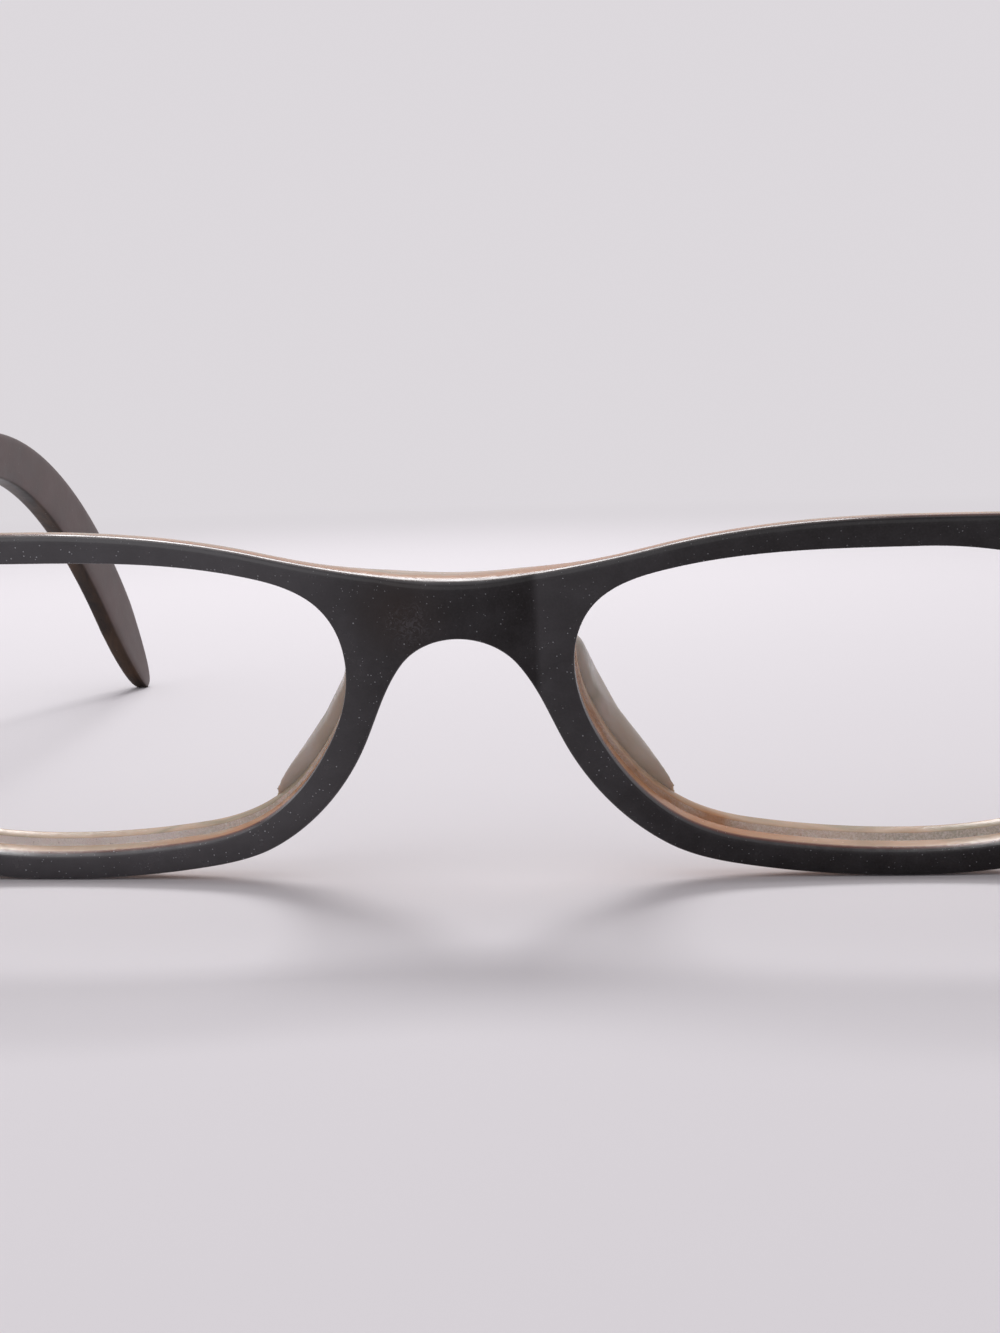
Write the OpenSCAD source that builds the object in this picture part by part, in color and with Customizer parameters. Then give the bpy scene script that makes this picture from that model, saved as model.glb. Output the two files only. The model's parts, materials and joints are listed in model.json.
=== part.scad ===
// Eyeglasses with a laminated plastic front, both lenses out and one temple lost.
// The front is drawn upright: X along the brow, Y towards the back, Z up, with its
// datum on the nose side of the bridge. It is then leant forward until the lower rims
// and the tip of the one temple stand on the floor.

/* [Lens openings] */
// Width of a lens opening
lens_w = 50; // [44:0.5:54]
// Height of a lens opening
lens_h = 27.3; // [22:0.1:33]
// Gap between the two openings across the nose
bridge_gap = 18.4; // [16:0.2:22]
// Depth of the openings' lowest point below the datum
lens_drop = 18.2; // [15:0.1:21]

/* [Rims] */
// Height of the rim over an opening
rim_top = 2.25; // [2:0.05:4]
// Height of the rim under an opening
rim_bottom = 2.3; // [1.6:0.05:4]
// Width of the strut beside the nose
strut_w = 2.7; // [2:0.05:4]
// Width of the rim towards the temple
rim_side = 2.9; // [2.4:0.05:4]
// Depth of the groove that held a lens
groove_depth = 0.6; // [0.3:0.05:1]
// Width of the groove at the wall
groove_w = 1.3; // [0.8:0.1:1.6]

/* [Front] */
// Width of an end piece, from the opening to the front's outer end
end_w = 11.4; // [9:0.1:14]
// Thickness of the black layer
black_t = 0.8; // [0.6:0.1:2]
// Thickness of the horn-coloured layer
horn_t = 3.6; // [2.6:0.1:4.5]
// Angle by which each rim is swept back
sweep = 1; // [0:0.2:8]
// Height of the bridge's top edge above the datum
bridge_top = 7; // [6:0.1:9]
// Height of the nose arch above the datum
arch_top = 2.25; // [1:0.05:3.5]
// Radius of the nose arch
arch_r = 5.8; // [5.2:0.1:7]
// Half width of the milled facet on the bridge
facet_half = 6.2; // [4:0.1:8]
// Radius of the milled facet on the bridge
facet_r = 45; // [25:1:90]
// Height of an end piece
end_h = 8.6; // [8:0.1:10]
// Radius of an end piece's corners
end_round = 2.4; // [1:0.1:3.5]
// Height of the hinges above the datum
hinge_z = 5; // [3:0.1:6]

/* [Nose pads] */
// How far a pad stands behind the front
pad_depth = 4.6; // [3:0.1:7]
// Radius of a pad's rounded edge
pad_r = 1.5; // [1:0.1:2]

/* [Hinge] */
// Number of barrels in a hinge
barrels = 5; // [3:2:7]
// Height of one barrel
barrel_h = 1.1; // [0.9:0.05:1.3]
// Gap between two barrels
barrel_gap = 0.06; // [0.04:0.01:0.1]
// Outer radius of a barrel
barrel_r = 1.4; // [1.2:0.05:1.6]
// Radius of the hinge screw
screw_r = 0.7; // [0.5:0.05:0.8]
// Radial clearance of the screw in the barrels
screw_play = 0.03; // [0.02:0.01:0.08]
// Radius of the screw's head
head_r = 1.05; // [0.95:0.05:1.1]
// Height of the screw's head
head_h = 0.5; // [0.4:0.05:0.6]
// Thickness of the hinge leaves
leaf_t = 0.8; // [0.6:0.05:1]
// Length of the leaf on the front
front_leaf_w = 6; // [4:0.5:8]
// Length of the leaf on the temple
temple_leaf_w = 11; // [7:0.5:14]

/* [Temple] */
// Length from the hinge to the start of the bend
temple_straight = 67.5; // [56:0.5:95]
// Radius of the bend behind the ear
bend_r = 46; // [25:1:55]
// Angle of the bend behind the ear
bend_angle = 73; // [40:1:80]
// Straight length behind the bend
temple_tail = 10.5; // [5:0.5:30]
// Thickness of the temple
temple_t = 2.9; // [2.6:0.1:4]
// Height of the temple at the hinge
temple_h = 7.5; // [7:0.1:9]
// Height of the temple at its narrowest
waist_h = 5.5; // [5:0.1:8]
// Height of the temple at its widest, where the tip starts
paddle_h = 8.8; // [6:0.1:10]
// Length of the tapered tip
tip_len = 12.5; // [6:0.5:16]
// Angle of the temple below the square to the front
panto = 10.5; // [4:0.5:12]
// Length from the hinge over which the temple runs straight back
inward_start = 73; // [40:1:90]
// Radius by which the tip is bent towards the head
inward_r = 320; // [200:5:500]
// Clearance between the temple's end and the front
butt_gap = 0.15; // [0.1:0.05:0.4]
// Side of the wire that stiffens the temple
wire_w = 1.2; // [0.9:0.1:1.4]

/* [Hidden] */
$fn = 64;
span = 400;            // longer than anything here
bend_steps = 10;       // points along each stretch of an outline
nasal = bridge_gap / 2;
half_w = nasal + lens_w + end_w;
front_t = black_t + horn_t;
facet_rise = facet_r - sqrt(facet_r * facet_r - facet_half * facet_half);

// An opening: [share of width, share of height, heading, width of the rim outside it],
// anticlockwise from the point nearest the nose.
lens_knots = [[0, 0.656, 270, 0],
              [0.039, 0.399, 298, strut_w],
              [0.171, 0.12, 328, (strut_w + rim_bottom) / 2],
              [0.281, 0.045, 349.5, rim_bottom],
              [0.549, 0, 0, rim_bottom],
              [0.879, 0.149, 32.5, rim_bottom + 0.2],
              [1, 0.485, 90, rim_side],
              [0.864, 0.834, 148, rim_side],
              [0.537, 1, 180, rim_top],
              [0.132, 0.942, 194.5, rim_top],
              [0.029, 0.835, 233, rim_top]];

function lens_x(k) = nasal + k[0] * lens_w;
function lens_z(k) = k[1] * lens_h - lens_drop;
// A knot of the opening moved out across the rim: [x, z, heading]
function rim_knot(k, width) =
    [lens_x(k) + width * sin(k[2]), lens_z(k) - width * cos(k[2]), k[2]];
function lens_outline() = closed_curve([for (k = lens_knots) rim_knot(k, 0)]);

// The right-hand half of the front's outer edge, from the nose arch round to the top
arch_side = 54.5;        // turn from the arch's crown to the strut
outer_knots = concat(
    [[0, arch_top, 0],
     [arch_r * sin(arch_side), arch_top - arch_r * (1 - cos(arch_side)), -arch_side]],
    [for (i = [1:6]) rim_knot(lens_knots[i], lens_knots[i][3])],
    [[half_w - end_round, hinge_z - end_h / 2, 8],
     [half_w, hinge_z - end_h / 2 + end_round, 90],
     [half_w, hinge_z + end_h / 2 - end_round, 90],
     [half_w - end_round, hinge_z + end_h / 2 + 0.2, 172],
     [nasal + 0.514 * lens_w, lens_h - lens_drop + rim_top, 180],
     [nasal + 0.134 * lens_w, lens_h - lens_drop + rim_top - 2, 193.5],
     [0, bridge_top, 180]]);

function between(a, b) = let (d = (b - a) % 360) d > 180 ? d - 360 : d < -180 ? d + 360 : d;
function toward(heading) = [cos(heading), sin(heading)];
// One cubic stretch between two knots; its handles make it an arc where it can be one
function stretch(a, b) =
    let (p = [a[0], a[1]], q = [b[0], b[1]],
         handle = norm(q - p) / (3 * pow(cos(between(a[2], b[2]) / 4), 2)),
         p1 = p + handle * toward(a[2]), q1 = q - handle * toward(b[2]))
    [for (i = [0:bend_steps - 1]) let (t = i / bend_steps, s = 1 - t)
        s * s * s * p + 3 * s * s * t * p1 + 3 * s * t * t * q1 + t * t * t * q];
function flatten(lists) = [for (l = lists) each l];
function closed_curve(knots) =
    flatten([for (i = [0:len(knots) - 1]) stretch(knots[i], knots[(i + 1) % len(knots)])]);
function open_curve(knots) =
    concat(flatten([for (i = [0:len(knots) - 2]) stretch(knots[i], knots[i + 1])]),
           [[knots[len(knots) - 1][0], knots[len(knots) - 1][1]]]);
function mirrored(points) =
    [for (i = [len(points) - 2:-1:1]) [-points[i][0], points[i][1]]];
outer_half = open_curve(outer_knots);
outer_outline = concat(outer_half, mirrored(outer_half));

// Depth of the sheet's layers at x: t is the depth below the front surface
function sheet_y(x, t) =
    facet_rise + max(abs(x) - facet_half, 0) * tan(sweep) + t / cos(sweep);
// Depth of the front surface at x, with the facet milled into it
function surface_y(x) =
    abs(x) < facet_half ? facet_r - sqrt(facet_r * facet_r - x * x) : sheet_y(x, 0);

// Hinge: the pin stands behind the end piece, leant back with the temple
stack_h = barrels * barrel_h + (barrels - 1) * barrel_gap;
leaf_gap = 0.1;        // room between a barrel and the plastic beside it
pin_x = half_w - 5;
pin_y = sheet_y(pin_x, front_t) + barrel_r + stack_h / 2 * sin(panto) + leaf_gap;
bore_r = screw_r + screw_play;
inner_x = barrel_r + leaf_gap;   // the temple's inner face, beside the barrels

// Temple: its middle line in the plane of the ear bend, from the hinge pin
bend_len = bend_r * bend_angle * PI / 180;
temple_len = temple_straight + bend_len + temple_tail;
function turned(s) =
    min(max(s - temple_straight, 0), bend_len) / bend_r * 180 / PI;
function middle(s) =
    let (a = turned(s), tail = max(s - temple_straight - bend_len, 0))
    [min(s, temple_straight) + bend_r * sin(a) + tail * cos(a),
     -bend_r * (1 - cos(a)) - tail * sin(a)];
function eased(t) = let (c = min(max(t, 0), 1)) c * c * (3 - 2 * c);
tip_start = temple_len - tip_len;
tip_power = 1.2;       // 1 gives a straighter taper, 2 half an ellipse
function temple_height(s) =
    (temple_h - (temple_h - waist_h) * eased(s / temple_straight)
     + (paddle_h - waist_h) * eased((s - temple_straight) / (tip_start - temple_straight)))
    * sqrt(1 - pow(max(s - tip_start, 0) / tip_len, tip_power));
function edge_point(s, height) =
    let (a = turned(s)) middle(s) + height / 2 * [sin(a), cos(a)];
temple_steps = 48;
front_stub = 4;        // the temple starts ahead of the pin and is trimmed to the front
function temple_s(i) = -front_stub + (tip_start + front_stub) * i / temple_steps;
// Sections along the temple, [length, height], closer together towards the tip's end
temple_sections = [for (s = concat([for (i = [0:temple_steps]) temple_s(i)],
                                   [for (a = [8:8:88]) tip_start + tip_len * sin(a)]))
                   [s, temple_height(s)]];
temple_side = [for (c = temple_sections, side = [1, -1]) edge_point(c[0], side * c[1])];

// Rest: the lean that lays the rims' lowest points and the temple tip on one floor
foot = rim_knot(lens_knots[4], rim_bottom);
foot_y = sheet_y(foot[0], 0);
function upright(p) =     // a point of the temple's side view in the front's own Y and Z
    [pin_y + p[0] * cos(panto) + p[1] * sin(panto),
     hinge_z - p[0] * sin(panto) + p[1] * cos(panto)];
lean = max([for (p = temple_side) let (q = upright(p))
            q[0] > temple_straight / 2 ? atan2(foot[1] - q[1], q[0] - foot_y) : 0]);
function leant_y(y, z) = y * cos(lean) - z * sin(lean);
function leant_z(y, z) = y * sin(lean) + z * cos(lean);
rest_z = -min([for (p = outer_half) leant_z(sheet_y(p[0], 0), p[1])]);
front_y = min([for (p = outer_half) leant_y(surface_y(p[0]), p[1])]);
back_y = max([for (p = temple_side) let (q = upright(p)) leant_y(q[0], q[1])]);

// ---- Places ----

module at_rest() {
    translate([0, -(front_y + back_y) / 2, rest_z]) rotate([lean, 0, 0]) children();
}
module on_right() {
    mirror([1, 0, 0]) children();
}
// The plane of one rim: its X runs along the rim, its Y is the depth below the front
module rim_plane() {
    translate([facet_half, facet_rise, 0]) rotate([0, 0, sweep])
        translate([-facet_half, 0, 0]) children();
}
// The hinge pin: Z along the pin, Y along the open temple
module at_pin() {
    translate([pin_x, pin_y, hinge_z]) rotate([-panto, 0, 0]) children();
}

// ---- Front ----

module front_blank() {
    translate([0, span / 2, 0]) rotate([90, 0, 0]) linear_extrude(height = span)
        difference() {
            polygon(outer_outline);
            polygon(lens_outline());
            mirror([1, 0]) polygon(lens_outline());
        }
}
// A layer of the sheet seen from above, between two lines of [x, y] points
module sheet_layer(front_line, back_line) {
    back = [for (i = [len(back_line) - 1:-1:0]) back_line[i]];
    intersection() {
        front_blank();
        translate([0, 0, -span / 2]) linear_extrude(height = span)
            polygon(concat(front_line, back));
    }
}
function bent_line(t) =
    [for (x = [-span / 4, -facet_half, facet_half, span / 4]) [x, sheet_y(x, t)]];
facet_steps = 16;
function facet_line() =
    concat([[-span / 4, sheet_y(span / 4, 0)]],
           [for (i = [0:facet_steps])
               let (x = facet_half * (2 * i / facet_steps - 1))
               [x, surface_y(x)]],
           [[span / 4, sheet_y(span / 4, 0)]]);

module front_black_layer() {
    color([0.13, 0.12, 0.13]) at_rest() sheet_layer(facet_line(), bent_line(black_t));
}

// Moves a closed outline outwards by d
function spread(points, d) =
    let (n = len(points))
    [for (i = [0:n - 1])
        let (v = points[(i + 1) % n] - points[(i + n - 1) % n], u = v / norm(v))
        points[i] + d * [u[1], -u[0]]];
groove_y = black_t + horn_t / 2;
groove_reach = 0.4;    // how far the cutter starts inside the opening
module lens_groove() {
    n = len(lens_outline());
    slope = groove_w / 2 / groove_depth;
    mouth = spread(lens_outline(), -groove_reach);
    root = spread(lens_outline(), groove_depth);
    reach_y = (groove_depth + groove_reach) * slope;
    rings = concat([for (p = mouth) [p[0], groove_y - reach_y, p[1]]],
                   [for (p = root) [p[0], groove_y, p[1]]],
                   [for (p = mouth) [p[0], groove_y + reach_y, p[1]]]);
    walls = [for (r = [0, 1], i = [0:n - 1])
        [r * n + i, r * n + (i + 1) % n, (r + 1) * n + (i + 1) % n, (r + 1) * n + i]];
    rim_plane() polyhedron(concat(rings),
        concat([[for (i = [n - 1:-1:0]) i]], walls, [[for (i = [0:n - 1]) 2 * n + i]]));
}
// What a leaf takes out of the plastic: its plate and its two studs
stud_r = 0.6;
stud_len = 1.2;
front_leaf_h = stack_h + 1.1;
front_leaf_x = pin_x + 1.4;      // outer end of the plate
module front_leaf_seat() {
    rim_plane() translate([front_leaf_x - front_leaf_w, front_t - leaf_t, 0]) {
        translate([0, 0, hinge_z - front_leaf_h / 2])
            cube([front_leaf_w, leaf_t, front_leaf_h]);
        for (x = [0.25, 0.75])
            translate([front_leaf_w * x, leaf_t / 2, hinge_z]) rotate([90, 0, 0])
                cylinder(r = stud_r, h = stud_len + leaf_t / 2);
    }
}
module front_horn_layer() {
    color([0.72, 0.62, 0.5]) at_rest() difference() {
        sheet_layer(bent_line(black_t), bent_line(front_t));
        lens_groove();
        on_right() lens_groove();
        front_leaf_seat();
        on_right() front_leaf_seat();
    }
}

// ---- Nose pads ----

// The pad's sections: [z, x of its foot and of its crest over the opening's edge, share of
// the pad's depth]
pad_sections = [[-1.6, -1.5, -1.18, 0.48], [-5, -1.2, -0.92, 1], [-8.2, -1.2, -0.56, 0.575],
                [-11.4, -1.1, -0.44, 0.447], [-14.8, -1, -0.62, -0.17]];
// X of the strut's opening edge at height z
function strut_x(z) = nasal + 0.35 + pow(max(-z, 0) / 5.4, 2);
module pad_section(p) {
    translate([strut_x(p[0]) + p[1], front_t, p[0]]) sphere(r = pad_r, $fn = 32);
    translate([strut_x(p[0]) + p[2], front_t + (pad_depth - pad_r) * p[3], p[0]])
        sphere(r = pad_r, $fn = 32);
}
module nose_pad() {
    color([0.62, 0.5, 0.38]) at_rest() rim_plane() difference() {
        for (i = [0:len(pad_sections) - 2]) hull() {
            pad_section(pad_sections[i]);
            pad_section(pad_sections[i + 1]);
        }
        translate([-span / 2, front_t - span, -span / 2]) cube(span);
    }
}
module nose_pad_left() {
    nose_pad();
}
module nose_pad_right() {
    on_right() nose_pad();
}

// ---- Hinge ----

function barrel_z(i) = i * (barrel_h + barrel_gap) - stack_h / 2;
module barrel_set(first) {
    for (i = [first:2:barrels - 1]) translate([0, 0, barrel_z(i)])
        cylinder(r = barrel_r, h = barrel_h);
}
module pin_bore() {
    translate([0, 0, -stack_h]) cylinder(r = bore_r, h = 2 * stack_h);
    translate([0, 0, stack_h / 2 - head_h]) cylinder(r = head_r + screw_play, h = stack_h);
}
web_w = 1.9;
module front_hinge_leaf() {
    color([0.72, 0.68, 0.6]) at_rest() difference() {
        union() {
            front_leaf_seat();
            at_pin() barrel_set(0);
            intersection() {
                at_pin() for (i = [0:2:barrels - 1])
                    translate([-web_w / 2, -span / 2, barrel_z(i)])
                        cube([web_w, span / 2, barrel_h]);
                rim_plane() translate([0, front_t - leaf_t / 2, -span / 2]) cube(span);
            }
        }
        at_pin() pin_bore();
    }
}
module front_hinge_leaf_left() {
    front_hinge_leaf();
}
module front_hinge_leaf_right() {
    on_right() front_hinge_leaf();
}
temple_leaf_y = 0.3;   // the plate starts just behind the pin
temple_leaf_h = stack_h - barrel_h;
temple_stud_z = 1.6;
module temple_leaf_seat() {
    translate([inner_x, temple_leaf_y, -temple_leaf_h / 2])
        cube([leaf_t, temple_leaf_w, temple_leaf_h]);
    for (y = [0.4, 0.85], z = [-temple_stud_z, temple_stud_z])
        translate([inner_x + leaf_t / 2, temple_leaf_y + temple_leaf_w * y, z])
            rotate([0, 90, 0]) cylinder(r = stud_r / 2, h = stud_len);
}
module temple_hinge_leaf_right() {
    color([0.72, 0.68, 0.6]) at_rest() on_right() at_pin() difference() {
        union() {
            temple_leaf_seat();
            barrel_set(1);
            for (i = [1:2:barrels - 1])
                translate([0, temple_leaf_y, barrel_z(i)])
                    cube([inner_x + leaf_t / 2, barrel_r, barrel_h]);
        }
        pin_bore();
    }
}
slot_w = 0.25;
module hinge_screw_right() {
    color([0.8, 0.78, 0.72]) at_rest() on_right() at_pin() difference() {
        union() {
            translate([0, 0, -stack_h / 2]) cylinder(r = screw_r, h = stack_h);
            translate([0, 0, stack_h / 2 - head_h]) cylinder(r = head_r, h = head_h);
        }
        translate([-head_r * 2, -slot_w / 2, stack_h / 2 - head_h / 2])
            cube([head_r * 4, slot_w, head_h]);
    }
}

// ---- Temple ----

// How far the temple has bent towards the head at length s
function inward(s) = pow(max(s - inward_start, 0), 2) / (2 * inward_r);
// A strip swept through the given sections, from depth a to depth b outside the
// temple's inner face
module temple_strip(sections, a, b) {
    last = len(sections) - 1;
    corners = [[a, 1], [b, 1], [b, -1], [a, -1]];
    points = [for (c = sections, k = corners)
        let (p = edge_point(c[0], c[1] * k[1]))
        [inner_x - inward(c[0]) + k[0], p[0], p[1]]];
    sides = [for (i = [0:last - 1], k = [0:3], half = [0, 1])
        let (p = 4 * i + k, q = 4 * i + (k + 1) % 4)
        half == 0 ? [p, q + 4, q] : [p, p + 4, q + 4]];
    polyhedron(points, concat([[0, 1, 2, 3]], sides, [[for (k = [3:-1:0]) 4 * last + k]]));
}
wire_end = 10;         // the wire stops this far short of the tip
wire_start = temple_leaf_y + 1;
wire_sections = [for (i = [0:temple_steps])
    [wire_start + (temple_len - wire_end - wire_start) * i / temple_steps, wire_w]];
module core_wire() {
    temple_strip(wire_sections, leaf_t, leaf_t + wire_w);
}
// Opens the wire's channel into the leaf's seat, where the wire meets the leaf
module wire_joint() {
    translate([inner_x + leaf_t / 2, wire_start + wire_w, -wire_w / 4])
        cube([leaf_t, temple_leaf_w / 2, wire_w / 2]);
}
module temple_core_wire_right() {
    color([0.75, 0.75, 0.77]) at_rest() on_right() at_pin() core_wire();
}
module temple_right() {
    color([0.2, 0.17, 0.16]) at_rest() on_right() difference() {
        at_pin() temple_strip(temple_sections, 0, temple_t);
        rim_plane() translate([-span / 2, front_t + butt_gap - span, -span / 2]) cube(span);
        at_pin() temple_leaf_seat();
        at_pin() core_wire();
        at_pin() wire_joint();
    }
}

front_black_layer();
front_horn_layer();
nose_pad_right();
nose_pad_left();
front_hinge_leaf_right();
front_hinge_leaf_left();
temple_hinge_leaf_right();
hinge_screw_right();
temple_right();
temple_core_wire_right();
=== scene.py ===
import json
from math import atan2, cos, pi, radians, sin, sqrt, tan

import bmesh
import bpy
from mathutils import Matrix, Vector, noise
from mathutils.geometry import interpolate_bezier


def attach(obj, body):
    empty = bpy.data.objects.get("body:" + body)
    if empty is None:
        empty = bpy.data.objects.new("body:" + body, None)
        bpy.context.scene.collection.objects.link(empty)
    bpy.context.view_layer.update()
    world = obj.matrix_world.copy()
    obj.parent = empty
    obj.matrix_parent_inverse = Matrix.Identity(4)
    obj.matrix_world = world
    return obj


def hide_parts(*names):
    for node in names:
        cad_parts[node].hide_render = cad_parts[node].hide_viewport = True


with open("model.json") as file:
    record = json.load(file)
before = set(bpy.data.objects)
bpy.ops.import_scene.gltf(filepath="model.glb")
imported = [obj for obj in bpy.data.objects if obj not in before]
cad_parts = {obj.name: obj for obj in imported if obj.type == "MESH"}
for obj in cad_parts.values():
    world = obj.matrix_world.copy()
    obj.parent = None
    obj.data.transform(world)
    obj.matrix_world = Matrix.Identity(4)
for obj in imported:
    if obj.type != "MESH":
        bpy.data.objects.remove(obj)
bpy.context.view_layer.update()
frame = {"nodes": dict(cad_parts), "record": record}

mm = 0.001                      # the pieces are drawn in millimetres

# The front's own sizes, in millimetres and degrees, with heights from a datum on the bridge
front = {"lensWidth": 50, "lensHeight": 27.3, "bridgeGap": 18.4, "lensDrop": 18.2,
         "rimTop": 2.25, "rimBottom": 2.3, "rimCorner": 2.5, "rimSide": 2.9, "strut": 2.7,
         "endWidth": 11.4, "black": 0.8, "horn": 3.6, "sweep": 1, "bridgeTop": 7,
         "archTop": 2.25, "archRadius": 5.8, "archSide": 54.5, "facetHalf": 6.2,
         "facetRadius": 45, "endHeight": 8.6, "endRound": 2.4, "endSlope": 8, "endRise": 0.2,
         "hingeHeight": 5}
hinge = {"inFromEnd": 5, "barrelRadius": 1.4, "stack": 5.74, "room": 0.1, "panto": 10.5}

nasal = front["bridgeGap"] / 2
halfWidth = nasal + front["lensWidth"] + front["endWidth"]
frontDepth = front["black"] + front["horn"]
facetRise = front["facetRadius"] - sqrt(front["facetRadius"] ** 2 - front["facetHalf"] ** 2)


def sheetDepth(x, t):           # how far back a point lies, t deep in the flat sheet
    swept = max(abs(x) - front["facetHalf"], 0) * tan(radians(front["sweep"]))
    return facetRise + swept + t / cos(radians(front["sweep"]))


# The hinge's own place gives how the upright front stands in the frame
joint = frame["record"]["behaviour"]["joints"][0]
pinAt = Vector(joint["pos_m"])
lean = radians(hinge["panto"]) + atan2(joint["axis"][1], -joint["axis"][2])
pinUpright = Vector((
    hinge["inFromEnd"] - halfWidth,
    sheetDepth(halfWidth - hinge["inFromEnd"], frontDepth) + hinge["barrelRadius"]
    + hinge["stack"] / 2 * sin(radians(hinge["panto"])) + hinge["room"],
    front["hingeHeight"]))
standing = (Matrix.Translation(pinAt) @ Matrix.Rotation(lean, 4, "X")
            @ Matrix.Scale(mm, 4) @ Matrix.Translation(-pinUpright))

# The camera, in degrees and millimetres
cameraView = {"turn": -5.53, "down": 26, "roll": -3.27, "aside": -3.32, "away": 142.98,
              "lens": 48.6, "sensor": 36, "nearest": 5, "farthest": 20000}


def addCamera(v):
    data = bpy.data.cameras.new("camera")
    data.sensor_fit = "AUTO"
    data.sensor_width = v["sensor"]
    data.lens = v["lens"]
    data.clip_start = v["nearest"] * mm
    data.clip_end = v["farthest"] * mm
    camera = bpy.data.objects.new("camera", data)
    bpy.context.scene.collection.objects.link(camera)
    seen = (Matrix.Translation(Vector((v["aside"], v["away"], 0)) * mm)
            @ Matrix.Rotation(radians(v["roll"]), 4, "Y")
            @ Matrix.Rotation(radians(v["down"]), 4, "X")
            @ Matrix.Rotation(radians(v["turn"]), 4, "Z"))
    upright = standing @ Matrix.Scale(1 / mm, 4)      # the same place, without the scale
    camera.matrix_world = upright @ seen.inverted() @ Matrix.Rotation(radians(90), 4, "X")
    bpy.context.scene.camera = camera


addCamera(cameraView)
print("camera set")


# Shorter ways to write the materials' nodes
def newMaterial(name, **sockets):
    material = bpy.data.materials.new(name)
    material.use_nodes = True
    shader = material.node_tree.nodes["Principled BSDF"]
    for socket, value in sockets.items():
        shader.inputs[socket.replace("_", " ")].default_value = value
    return material, material.node_tree, shader


def addNode(tree, kind, **settings):
    node = tree.nodes.new("ShaderNode" + kind)
    for name, value in settings.items():
        if name.replace("_", " ") in node.inputs:
            node.inputs[name.replace("_", " ")].default_value = value
        else:
            setattr(node, name, value)
    return node


def place(tree, source=None, scale=(1, 1, 1)):      # coordinates in millimetres
    if source is None:
        coordinates = addNode(tree, "TexCoord").outputs["Object"]
        scale = [s / mm for s in scale]
    else:
        coordinates = addNode(tree, "Attribute", attribute_name=source).outputs["Vector"]
    mapping = addNode(tree, "Mapping")
    mapping.inputs["Scale"].default_value = scale
    tree.links.new(coordinates, mapping.inputs["Vector"])
    return mapping.outputs["Vector"]


def cloud(tree, vector, scale, detail=3, rough=0.5, distort=0):
    node = addNode(tree, "TexNoise", Scale=scale, Detail=detail, Roughness=rough,
                   Distortion=distort)
    tree.links.new(vector, node.inputs["Vector"])
    return node.outputs["Fac"]


def ramp(tree, value, *stops):                      # stops: (place, colour or grey)
    node = tree.nodes.new("ShaderNodeValToRGB")
    bands = node.color_ramp.elements
    while len(bands) < len(stops):
        bands.new(0.5)
    for band, (at, shade) in zip(bands, stops):
        band.position = at
        grey = isinstance(shade, (int, float))
        band.color = (shade, shade, shade, 1) if grey else (*shade, 1)
    tree.links.new(value, node.inputs["Fac"])
    return node.outputs["Color"]


def calc(tree, operation, a, b=0.0, clamp=False):
    node = addNode(tree, "Math", operation=operation, use_clamp=clamp)
    for socket, value in zip(node.inputs, (a, b)):
        if isinstance(value, (int, float)):
            socket.default_value = value
        else:
            tree.links.new(value, socket)
    return node.outputs["Value"]


def scaled(tree, value, by, plus, clamp=False):     # value times by, and something added
    return calc(tree, "ADD", calc(tree, "MULTIPLY", value, by), plus, clamp)


def blendColour(tree, share, a, b):
    node = tree.nodes.new("ShaderNodeMix")
    node.data_type = "RGBA"
    inputs = [node.inputs[0], node.inputs[6], node.inputs[7]]
    for socket, value in zip(inputs, (share, a, b)):
        if isinstance(value, (int, float)):
            socket.default_value = value
        elif isinstance(value, tuple):
            socket.default_value = (*value, 1)
        else:
            tree.links.new(value, socket)
    return node.outputs[2]


def addBump(tree, shader, height, distance, strength=1.0):
    bump = addNode(tree, "Bump", Strength=strength, Distance=distance)
    tree.links.new(height, bump.inputs["Height"])
    if shader.inputs["Normal"].is_linked:
        tree.links.new(shader.inputs["Normal"].links[0].from_socket, bump.inputs["Normal"])
    tree.links.new(bump.outputs["Normal"], shader.inputs["Normal"])


def specks(tree, vector, scale, size, keep):        # 1 on scattered grains, 0 between them
    cells = addNode(tree, "TexVoronoi", Scale=scale, Randomness=1.0)
    tree.links.new(vector, cells.inputs["Vector"])
    chance = addNode(tree, "SeparateColor")
    tree.links.new(cells.outputs["Color"], chance.inputs["Color"])
    reach = calc(tree, "MULTIPLY", chance.outputs["Green"], size)
    near = calc(tree, "LESS_THAN", cells.outputs["Distance"], reach)
    chosen = calc(tree, "LESS_THAN", chance.outputs["Red"], keep)
    return calc(tree, "MULTIPLY", near, chosen)


def split(tree, vector):
    node = addNode(tree, "SeparateXYZ")
    tree.links.new(vector, node.inputs["Vector"])
    return node.outputs


def nearness(tree, vector, at, size):           # 1 at a spot of the sheet, 0 from size away
    gap = addNode(tree, "VectorMath", operation="DISTANCE")
    tree.links.new(vector, gap.inputs[0])
    gap.inputs[1].default_value = at
    return calc(tree, "SUBTRACT", 1, calc(tree, "DIVIDE", gap.outputs["Value"], size), True)


# Black acetate. Grains and powder are scale, size and share; the film lies along the front
# as x and share, and its grey is also painted sheen and shade: greyer on the wearer's right,
# darkest at the bridge facet's crease, lighter past it. A brownish painted sheen lies on the
# facet's wearer's-right half.
blackLook = {"colour": (0.010, 0.008, 0.008), "haze": (0.073, 0.069, 0.075),
             "brown": (0.026, 0.016, 0.012), "stain": (0.075, 0.018, 0.009),
             "dust": (0.46, 0.47, 0.49), "scuffAt": (-3.6, 0, 3.5), "scuffSize": 2.6,
             "brownSheenAt": (-4.5, 0, 4.5), "brownSheenSize": 4.5, "grains": (1.3, 0.085, 0.7),
             "powder": (3.6, 0.2, 0.6), "bump": 0.03,
             "film": [(-61, 0.9), (-14, 0.75), (-6, 0.3), (3.5, 0.08), (6, 0), (6.6, 0.45),
                      (13, 0.3), (24, 0.1)]}


# the film's share along the front, which in the colour is also painted sheen and shade
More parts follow.
